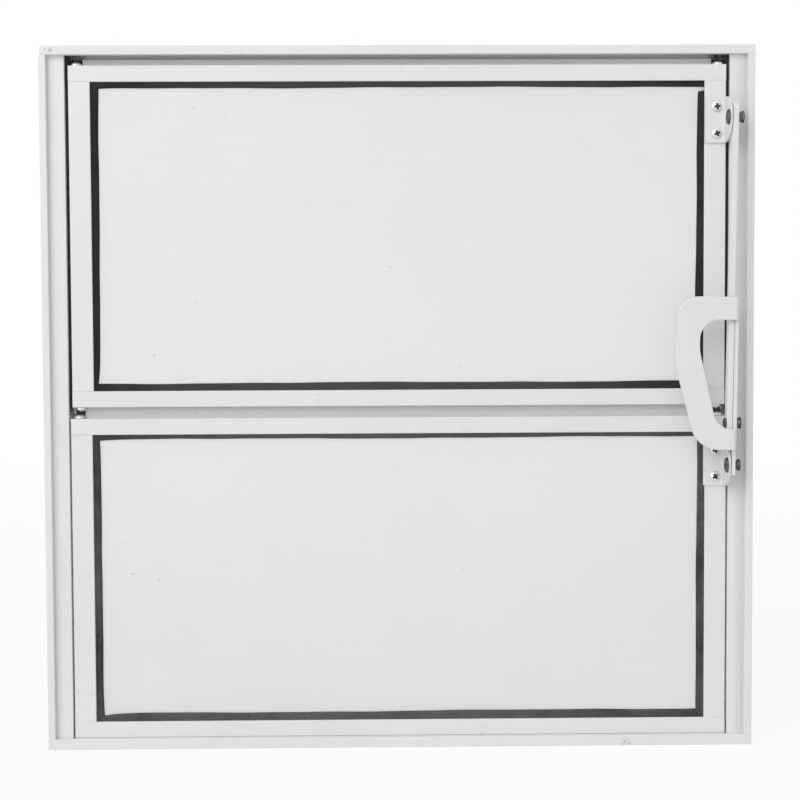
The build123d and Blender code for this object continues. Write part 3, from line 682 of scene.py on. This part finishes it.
def sash_strips(sash, left, right, bottom, top, floor):
    """The four strips of a sash. Some run through a corner, and the others butt against them."""
    tuck = 0.8 * MM
    short_end = 8.3 * MM
    reach = {side: min(widths[0]) * MM - tuck for side, widths in RUBBER_SIDES[sash].items()}
    full_z = (bottom - floor, top + floor)
    inside_x = (left + reach["left"], right - reach["right"])
    spans = {
        "upper": {
            "left": (bottom + reach["bottom"], top + floor),
            "top": (left + reach["left"], right + floor),
            "right": (bottom + reach["bottom"], top - short_end),
            "bottom": (left - floor, right + floor),
        },
        "lower": {"left": full_z, "top": inside_x, "right": full_z, "bottom": inside_x},
    }[sash]
    sides = (
        ("left", ALONG_Z, ALONG_X, left),
        ("right", ALONG_Z, -ALONG_X, -right),
        ("bottom", ALONG_X, ALONG_Z, bottom),
        ("top", ALONG_X, -ALONG_Z, -top),
    )
    strips = []
    for index, (side, along, inward, edge) in enumerate(sides):
        shows, flares, cuts = RUBBER_SIDES[sash][side]
        shows = [show * MM for show in shows]
        flares = [flare * MM for flare in flares]
        phase = 1.7 * index + (0.0 if sash == "upper" else 4.1)
        strips.append(RubberStrip(along, inward, edge, spans[side], shows, flares, cuts, phase))
    return strips


# Pile


def add_fibres(shape, start, run, out, length, reach, width, tuft, dense, seed, finish=0):
    """Thin fibres that stand out along a run, made once for a tuft and then repeated."""
    across = run.cross(out)
    copies = max(1, round(length / tuft))
    pitch = length / copies
    chance = random.Random(seed)
    facing = Matrix((across, run, out)).transposed().to_4x4()
    fibres = bmesh.new()
    for _ in range(round(dense * pitch / MM)):
        tall = reach * chance.uniform(0.75, 1.0)
        foot = run * chance.uniform(0.0, pitch) + across * chance.uniform(-0.5, 0.5) * width
        lean = Matrix.Rotation(chance.gauss(0.0, FIBRE_LEAN), 4, "X")
        lean = lean @ Matrix.Rotation(chance.gauss(0.0, FIBRE_LEAN), 4, "Y")
        bmesh.ops.create_cone(
            fibres,
            cap_ends=True,
            segments=3,
            radius1=chance.uniform(*FIBRE_FOOT_MM) * MM,
            radius2=FIBRE_TIP,
            depth=tall,
            matrix=Matrix.Translation(foot) @ facing @ lean @ Matrix.Translation((0, 0, tall / 2)),
        )
    for face in fibres.faces:
        face.material_index = finish
    mesh = bpy.data.meshes.new("fibres")
    fibres.to_mesh(mesh)
    fibres.free()
    copy_to(shape, mesh, [Matrix.Translation(start + run * pitch * index) for index in range(copies)])
    bpy.data.meshes.remove(mesh)


# Screws and rivets


def pan_head(name, radius, height, segments):
    """Pan head with a cross recess, its seat at the origin and its crown along +Z."""
    side = 0.42 * height
    rise = height - side
    sphere = (radius**2 + rise**2) / (2 * rise)
    widest = math.asin(radius / sphere)
    points = [(0.0, -0.5 * height), (0.42 * radius, -0.5 * height), (0.42 * radius, 0.0)]
    points += [(0.94 * radius, 0.0), (radius, 0.06 * radius), (radius, side)]
    dome_steps = 8
    for index in range(1, dome_steps + 1):
        angle = widest * (1 - index / dome_steps)
        points.append((sphere * math.sin(angle), height - sphere * (1 - math.cos(angle))))
    head_mesh = spun_mesh(name, points, segments)

    cutter = bmesh.new()
    for turn in (0.0, math.pi / 2):
        blade = bmesh.ops.create_cube(cutter, size=1.0)["verts"]
        for vert in blade:
            deep = vert.co.z < 0
            vert.co.x *= 1.55 * radius * (0.5 if deep else 1.0)
            vert.co.y *= 0.52 * radius * (0.55 if deep else 1.0)
            vert.co.z = height * (0.15 if deep else 1.2)
        bmesh.ops.rotate(cutter, verts=blade, cent=(0, 0, 0), matrix=Matrix.Rotation(turn, 3, "Z"))
    cutter_mesh = bpy.data.meshes.new(name + "_recess")
    cutter.to_mesh(cutter_mesh)
    cutter.free()
    finished = cut_mesh(head_mesh, cutter_mesh)

    for face in finished.polygons:
        apart = math.hypot(face.center.x, face.center.y)
        dome_z = height - sphere + math.sqrt(max(0.0, sphere**2 - apart**2))
        if apart < 0.72 * radius and 0.1 * height < face.center.z < dome_z - 0.03 * height:
            face.material_index = 1
    return finished


def cut_mesh(mesh, cutter_mesh):
    """Cuts one mesh from another and returns the result."""
    block = bpy.data.objects.new("cut_block", mesh)
    cutter = bpy.data.objects.new("cut_tool", cutter_mesh)
    for item in (block, cutter):
        bpy.context.scene.collection.objects.link(item)
    cut = block.modifiers.new("Cut", "BOOLEAN")
    cut.operation = "DIFFERENCE"
    cut.solver = "EXACT"
    cut.use_self = True
    cut.object = cutter
    graph = bpy.context.evaluated_depsgraph_get()
    finished = bpy.data.meshes.new_from_object(block.evaluated_get(graph))
    for item in (block, cutter):
        bpy.data.objects.remove(item)
    return finished


def rivet_mesh(name, radius, length, sizes):
    """Rivet along +Z: a dished head with a rim at the bottom and a flared tail at the top."""
    head = sizes.rivet_head
    tail = sizes.rivet_tail
    shank = sizes.rivet_shank
    tail_start = length - tail
    points = [(across * radius, high * head) for across, high in RIVET_HEAD]
    points += [(shank, head), (shank, tail_start)]
    points += [(across * sizes.rivet_flare, tail_start + high * tail) for across, high in RIVET_TAIL]
    return spun_mesh(name, points, sizes.round_segments)


# Operators, one for each piece or group of like pieces


class WINDOW_OT_coat_profiles(bpy.types.Operator):
    """Coat the frame and the sash profiles white, with the fins' ends and the sill's bead"""

    bl_idname = "window.coat_profiles"
    bl_label = "Coat profiles"

    def execute(self, context):
        colours = context.scene.window_colours
        sizes = context.scene.window_sizes
        white = colours.coat
        grime_and_shade = colours.grime_and_shade
        coat = powder_coat("white powder coat", white, grime_and_shade, COAT_DIRT_AND_SHADE)
        assign(PROFILE_NODES, coat)
        # The right jamb's coat gets painted shade that darkens towards its lip
        lip_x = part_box("right_jamb")[1][0] - sizes.jamb_lip
        lip_shade = (lip_x - sizes.jamb_lip_shade, lip_x)
        assign(("right_jamb",), powder_coat("powder coat with painted lip shade", white, grime_and_shade, COAT_DIRT_AND_SHADE, lip_shade))
        # The raised fin's coat is painted darker: dust and painted shade, as the fin sits in shade
        # between the sashes
        self.raise_fin(sizes, powder_coat("fin coat with dust and painted shade", shade_of(white, 0.85), grime_and_shade, COAT_DIRT_AND_SHADE))
        self.extend_fin(sizes, coat)
        self.add_bead(sizes, coat)
        return {"FINISHED"}

    def top_fin(self, sash, sizes):
        """A top fin's front and back Y, its end's X in the solid and here, and its Z from and to."""
        low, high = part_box(f"{sash}_top_rail")
        front_y = low[1] + sizes.fin_setback
        end_x = high[0] - sizes.fin_notch
        back_y = front_y + sizes.fin_wall
        return front_y, back_y, end_x, end_x + sizes.fin_end, sash_top(sash, sizes), high[2]

    def raise_fin(self, sizes, coat):
        """Facing, tip and ends on the lower sash's top fin, which close the view into the gap."""
        front_y, back_y, end_x, long_x, root_z, solid_z = self.top_fin("lower", sizes)
        top_z = sash_bottom("upper", sizes) - sizes.fin_clear
        tip = ((-end_x, front_y, solid_z), (end_x, back_y, top_z))
        facing = ((-long_x, front_y - sizes.fin_face, root_z), (long_x, front_y, top_z))
        left = ((-end_x, front_y, root_z), (-long_x, back_y, top_z))
        right = ((end_x, front_y, root_z), (long_x, back_y, top_z))
        self.add_blocks("lower_fin_tip", (tip, facing, left, right), coat, "lower_sash")

    def extend_fin(self, sizes, coat):
        """Ends of the upper sash's top fin, which run on to its corner screws."""
        front_y, back_y, end_x, long_x, root_z, top_z = self.top_fin("upper", sizes)
        left = ((-end_x, front_y, root_z), (-long_x, back_y, top_z))
        right = ((end_x, front_y, root_z), (long_x, back_y, top_z))
        self.add_blocks("upper_fin_ends", (left, right), coat, "upper_sash")

    def add_bead(self, sizes, coat):
        """Fine bead on the sill's lip, in front of the slit below the lower sash."""
        rail_low, rail_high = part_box("lower_bottom_rail")
        lip_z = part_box("sill")[1][2]
        back_y = rail_low[1] - TOUCH
        near = (rail_low[0], back_y - sizes.bead, lip_z)
        far = (rail_high[0], back_y, lip_z + sizes.bead)
        self.add_blocks("sill_bead", [(near, far)], coat, "frame")

    def add_blocks(self, name, blocks, coat, body):
        """Makes one coated piece of boxes, each given by two opposite corners."""
        shape = bmesh.new()
        for first, second in blocks:
            add_block(shape, first, second)
        face_outwards(shape)
        add_piece(name, shape, [coat], body, "white_coat")


class WINDOW_OT_paint_link(bpy.types.Operator):
    """Paint the handle, the link bar and the brackets"""

    bl_idname = "window.paint_link"
    bl_label = "Paint link"

    def execute(self, context):
        colours = context.scene.window_colours
        # The link's paint takes a large share of painted shade in the joints between bar, handle and
        # brackets
        paint = powder_coat("white link paint", colours.link, colours.grime_and_shade, LINK_DIRT_AND_SHADE)
        assign(LINK_NODES, paint)
        return {"FINISHED"}


class WINDOW_OT_set_rivets(bpy.types.Operator):
    """Set the rivets of the link"""

    bl_idname = "window.set_rivets"
    bl_label = "Set rivets"

    def execute(self, context):
        colours = context.scene.window_colours
        sizes = context.scene.window_sizes
        steel = dull_steel("dark rivet steel", colours.rivet)
        along_x = Matrix.Rotation(math.pi / 2, 4, "Y")
        shape = bmesh.new()
        for low, high in solid_boxes("rivets"):
            rivet = rivet_mesh("rivet", (high.z - low.z) / 2, high.x - low.x, sizes)
            middle = (low + high) / 2
            copy_to(shape, rivet, [Matrix.Translation((low.x, middle.y, middle.z)) @ along_x])
            bpy.data.meshes.remove(rivet)
        add_piece("link_rivets", shape, [steel], "link", "rivet_steel", "rivets")
        return {"FINISHED"}


class WINDOW_OT_glaze_sashes(bpy.types.Operator):
    """Give both panes their obscure glass"""

    bl_idname = "window.glaze_sashes"
    bl_label = "Glaze sashes"

    def execute(self, context):
        glass = obscure_glass("pale obscure glass", context.scene.window_colours.glass)
        assign([f"{sash}_glass" for sash in SASHES], glass)
        return {"FINISHED"}


class WINDOW_OT_lay_rubber(bpy.types.Operator):
    """Lay the glazing rubber round both panes"""

    bl_idname = "window.lay_rubber"
    bl_label = "Lay rubber"

    def execute(self, context):
        colours = context.scene.window_colours
        sizes = context.scene.window_sizes
        dust = {"upper": 0.15, "lower": 0.60}
        gloss = {"upper": 0.15, "lower": 0.35}
        for sash in SASHES:
            blacks = (colours.rubber, colours.rubber_dust)
            rubber = black_rubber(f"{sash} glazing rubber", *blacks, dust[sash], gloss[sash])
            low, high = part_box(f"{sash}_glass")
            outer_low, outer_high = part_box(f"{sash}_gasket")
            left = low[0] + sizes.glass_bite
            right = high[0] - sizes.glass_bite
            bottom = low[2] + sizes.glass_bite
            top = high[2] - sizes.glass_bite
            floor = left - outer_low[0]
            glass_front = low[1] - TOUCH
            glass_back = high[1] + TOUCH
            bite = -(sizes.glass_bite + 2 * TOUCH)
            outside = sizes.rubber_outside
            depth = (outer_low[1], glass_front, glass_back, outer_high[1], -floor, bite, outside)
            shape = bmesh.new()
            for strip in sash_strips(sash, left, right, bottom, top, floor):
                roll_strip(shape, strip, depth, sizes.rubber_step, sizes.rubber_wave)
            face_outwards(shape)
            name = f"{sash}_glazing_rubber"
            add_piece(name, shape, [rubber], f"{sash}_sash", "black_rubber", f"{sash}_gasket")
        return {"FINISHED"}


class WINDOW_OT_brush_pile(bpy.types.Operator):
    """Build the pile seals: woven backing, dense core and loose fibres"""

    bl_idname = "window.brush_pile"
    bl_label = "Brush pile"

    def execute(self, context):
        colours = context.scene.window_colours
        sizes = context.scene.window_sizes
        dust = colours.pile_dust
        clean = black_pile("black pile", colours.pile, dust, 0.4)
        notch_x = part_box("upper_right_stile")[1][0] - sizes.fin_notch
        # The dusty pile's painted light begins a little inwards of the fins' notches
        lit_from_x = notch_x + PAINTED_LIGHT_FADE
        dusty = black_pile("dusty pile with painted light", colours.pile, shade_of(dust, 3.8), 0.9, lit_from_x)
        pale = black_pile("pale pile", shade_of(dust, 2.4), shade_of(dust, 4.6), 0.9)
        self.jamb_pile("left_pile", ALONG_X, [clean, dusty, pale], sizes)
        self.jamb_pile("right_pile", -ALONG_X, [clean, dusty, pale], sizes)
        self.fin_pile("head_pile", "frame", [clean, dusty], sizes)
        self.fin_pile("middle_pile", "upper_sash", [clean, dusty], sizes)
        assign(("sill_pile",), clean)
        return {"FINISHED"}

    def jamb_pile(self, node, out, piles, sizes):
        """Pile in a jamb's groove: a pale length, a clean one above it and a dusty tuft between."""
        shape = bmesh.new()
        for index, (low, high) in enumerate(solid_boxes(node)):
            back_x, tip_x = (low.x, high.x) if out.x > 0 else (high.x, low.x)
            face_x = back_x + out.x * sizes.pile_back
            core_x = face_x + 0.8 * (tip_x - face_x)
            middle_y = (low.y + high.y) / 2
            dust = PALE if index == 0 else CLEAN
            add_block(shape, (back_x, low.y, low.z), (face_x, high.y, high.z), dust)
            core_low = (face_x, middle_y - PILE_CORE, low.z)
            add_block(shape, core_low, (core_x, middle_y + PILE_CORE, high.z), dust)
            start = Vector((face_x, middle_y, low.z))
            length = high.z - low.z
            reach = abs(tip_x - face_x)
            brush = (BRUSH_WIDTH, sizes.pile_tuft, JAMB_FIBRES)
            add_fibres(shape, start, ALONG_Z, out, length, reach, *brush, index, dust)
        tuft_low = sash_top("lower", sizes) + sizes.tuft_clear
        tuft_high = sash_bottom("upper", sizes) - sizes.tuft_clear
        foot = Vector((face_x, middle_y + TUFT_BACK, tuft_low))
        span = tuft_high - tuft_low
        reach += sizes.tuft_over
        brush = (TUFT_WIDTH, span, TUFT_FIBRES)
        add_fibres(shape, foot, ALONG_Z, out, span, reach, *brush, TUFT_SEED, DUSTY)
        face_outwards(shape)
        add_piece(f"{node}_fibres", shape, piles, "frame", "black_pile", node)

    def fin_pile(self, node, body, piles, sizes):
        """Pile along a fin or stop, with full tufts where the fin's notched ends show it."""
        low, high = (Vector(corner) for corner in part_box(node))
        face_y = high.y - sizes.pile_back
        reach = face_y - low.y
        middle_z = (low.z + high.z) / 2
        shape = bmesh.new()
        add_block(shape, (low.x, face_y, low.z), high)
        core_low = (low.x, low.y + 0.8 * MM, middle_z - PILE_CORE)
        add_block(shape, core_low, (high.x, face_y, middle_z + PILE_CORE))
        start = Vector((low.x, face_y, middle_z))
        length = high.x - low.x
        brush = (BRUSH_WIDTH, sizes.pile_tuft, FIN_FIBRES)
        add_fibres(shape, start, ALONG_X, TO_ROOM, length, reach, *brush, FIN_SEED)
        for seed, (low_x, high_x, low_z, high_z) in enumerate(self.notches(node, sizes)):
            add_block(shape, (low_x, face_y, low_z), (high_x, high.y, high_z), DUSTY)
            foot = Vector((low_x, face_y, (low_z + high_z) / 2))
            span = high_x - low_x
            width = high_z - low_z
            brush = (width, span, NOTCH_FIBRES * width / MM)
            add_fibres(shape, foot, ALONG_X, TO_ROOM, span, reach, *brush, NOTCH_SEED + seed, DUSTY)
        face_outwards(shape)
        add_piece(f"{node}_fibres", shape, piles, body, "black_pile", node)

    def notches(self, node, sizes):
        """Where the fins' notched ends show the pile: X from and to, Z from and to."""
        sash_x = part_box("upper_right_stile")[1][0]
        margin = 0.4 * MM
        head_lip = 5.0 * MM
        inner = sash_x - sizes.fin_notch - margin
        if node == "head_pile":
            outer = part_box("head_pile")[1][0] - 0.3 * MM
            low_z = sash_top("upper", sizes) + sizes.tuft_clear
            high_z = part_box("head")[1][2] - head_lip
        else:
            outer = sash_x - margin
            low_z = sash_top("lower", sizes) + sizes.tuft_clear
            high_z = sash_bottom("upper", sizes)
        return (-outer, -inner, low_z, high_z), (inner, outer, low_z, high_z)


class WINDOW_OT_drive_screws(bpy.types.Operator):
    """Drive the corner screws and the bracket screws"""

    bl_idname = "window.drive_screws"
    bl_label = "Drive screws"

    def execute(self, context):
        colours = context.scene.window_colours
        sizes = context.scene.window_sizes
        zinc = bright_zinc("bright zinc", colours.zinc)
        # Screw recesses are painted near black: dirt and painted shade
        dirt_and_shade = recess_dirt_and_shade("recess dirt and painted shade", shade_of(colours.grime_and_shade, 0.35))
        assign(PIVOT_NODES, zinc)
        chance = random.Random(SCREW_SEED)
        for sash in SASHES:
            for kind, height, turns in (
                ("corner", sizes.corner_head, CORNER_TURNS),
                ("bracket", sizes.bracket_head, BRACKET_TURNS),
            ):
                name = f"{sash}_{kind}_screw"
                boxes = solid_boxes(f"{name}s")
                radius = (boxes[0][1].x - boxes[0][0].x) / 2
                head = pan_head(f"{kind}_screw", radius, height, sizes.round_segments)
                seats = self.seats(kind, boxes, height)
                places = [seat @ Matrix.Rotation(chance.uniform(*turns), 4, "Z") for seat in seats]
                shape = bmesh.new()
                copy_to(shape, head, places)
                bpy.data.meshes.remove(head)
                add_piece(f"{name}_heads", shape, [zinc, dirt_and_shade], f"{sash}_sash", "screw_steel", f"{name}s")
        return {"FINISHED"}

    def seats(self, kind, boxes, height):
        """Seats of the heads, whose crowns look up or down on corners and to the room on brackets."""
        middle_z = sum(low.z + high.z for low, high in boxes) / (2 * len(boxes))
        seats = []
        for low, high in boxes:
            seat = (low + high) / 2
            if kind == "bracket":
                angle = math.pi / 2
                seat.y = low.y + height
            elif low.z > middle_z:
                angle = 0.0
                seat.z = high.z - height
            else:
                angle = math.pi
                seat.z = low.z + height
            seats.append(Matrix.Translation(seat) @ Matrix.Rotation(angle, 4, "X"))
        return seats


class WINDOW_OT_dress_studio(bpy.types.Operator):
    """Set the floor, the light and the camera"""

    bl_idname = "window.dress_studio"
    bl_label = "Dress studio"

    def execute(self, context):
        scene = context.scene
        studio = scene.window_studio
        scene.view_settings.view_transform = "Standard"
        self.add_floor(scene)
        self.add_room(scene, studio)
        self.add_key_light(scene, studio)
        self.add_camera(scene, studio)
        return {"FINISHED"}

    def add_floor(self, scene):
        """Pale floor that keeps the window's shadow and reads white to the camera."""
        shape = bmesh.new()
        bmesh.ops.create_grid(shape, x_segments=1, y_segments=1, size=FLOOR_HALF)
        mesh = bpy.data.meshes.new("studio_floor")
        shape.to_mesh(mesh)
        shape.free()
        material = bpy.data.materials.new("pale floor")
        material.use_nodes = True
        tree = material.node_tree
        tree.nodes.clear()
        diffuse = add_node(tree, "ShaderNodeBsdfDiffuse", {"Color": FLOOR_GREY})
        white = add_node(tree, "ShaderNodeEmission")
        near = near_place(tree, coordinates(tree), (0.0, 0.0, 0.0), SHADOW_REACH)
        share = times(tree, seen_rays(tree), spread(tree, near, 0.0, 1.0, 1.0, SHADOW_WHITE))
        inputs = {0: share, 1: diffuse.outputs["BSDF"], 2: white.outputs["Emission"]}
        blend = add_node(tree, "ShaderNodeMixShader", inputs)
        add_node(tree, "ShaderNodeOutputMaterial", {"Surface": blend.outputs["Shader"]})
        mesh.materials.append(material)
        floor = bpy.data.objects.new("studio_floor", mesh)
        scene.collection.objects.link(floor)

    def add_room(self, scene, studio):
        """Even light from all round, white where it is seen."""
        world = bpy.data.worlds.new("white room")
        world.use_nodes = True
        tree = world.node_tree
        strength = spread(tree, seen_rays(tree), 0.0, 1.0, studio.room_light, 1.0)
        fill(tree, tree.nodes["Background"], {"Color": (1.0, 1.0, 1.0, 1.0), "Strength": strength})
        scene.world = world

    def add_key_light(self, scene, studio):
        """Large soft light from the upper left."""
        lamp = bpy.data.lights.new("key_light", "AREA")
        lamp.shape = "SQUARE"
        lamp.size = studio.key_size
        lamp.energy = studio.key_power
        key = bpy.data.objects.new("key_light", lamp)
        place = Vector(studio.key_place)
        target = Vector((0.0, 0.0, (CAD_BOX[0][2] + CAD_BOX[1][2]) / 2))
        turn = (target - place).to_track_quat("-Z", "Y")
        key.matrix_world = Matrix.Translation(place) @ turn.to_matrix().to_4x4()
        scene.collection.objects.link(key)

    def add_camera(self, scene, studio):
        """Camera at the photograph's place."""
        lens = bpy.data.cameras.new("camera")
        lens.sensor_width = 36.0
        lens.lens = studio.focal_length
        camera = bpy.data.objects.new("camera", lens)
        camera.matrix_world = (
            Matrix.Translation(studio.camera_place)
            @ Matrix.Rotation(studio.camera_turn, 4, "Z")
            @ Matrix.Rotation(math.pi / 2 + studio.camera_tilt, 4, "X")
            @ Matrix.Rotation(-studio.camera_roll, 4, "Z")
        )
        scene.collection.objects.link(camera)
        scene.camera = camera


class WINDOW_PT_dressing(bpy.types.Panel):
    """Lists the steps that dress the window"""

    bl_idname = "WINDOW_PT_dressing"
    bl_label = "Pivot window"
    bl_space_type = "VIEW_3D"
    bl_region_type = "UI"
    bl_category = "Window"

    def draw(self, context):
        for step in STEPS:
            self.layout.operator(step.bl_idname)


STEPS = (
    WINDOW_OT_coat_profiles,
    WINDOW_OT_paint_link,
    WINDOW_OT_set_rivets,
    WINDOW_OT_glaze_sashes,
    WINDOW_OT_lay_rubber,
    WINDOW_OT_brush_pile,
    WINDOW_OT_drive_screws,
    WINDOW_OT_dress_studio,
)
SETTINGS = {"window_colours": WindowColours, "window_sizes": WindowSizes, "window_studio": StudioSettings}
CLASSES = (*SETTINGS.values(), *STEPS, WINDOW_PT_dressing)


def register():
    """Registers the classes and the scene's settings."""
    for item in CLASSES:
        bpy.utils.register_class(item)
    for name, group in SETTINGS.items():
        setattr(bpy.types.Scene, name, PointerProperty(type=group))


def unregister():
    """Takes the settings and the classes away again."""
    for name in SETTINGS:
        delattr(bpy.types.Scene, name)
    for item in reversed(CLASSES):
        bpy.utils.unregister_class(item)


def main():
    """Dresses the window."""
    register()
    bpy.ops.window.coat_profiles()
    bpy.ops.window.paint_link()
    bpy.ops.window.set_rivets()
    bpy.ops.window.glaze_sashes()
    bpy.ops.window.lay_rubber()
    bpy.ops.window.brush_pile()
    bpy.ops.window.drive_screws()
    bpy.ops.window.dress_studio()


if __name__ == "__main__":
    main()
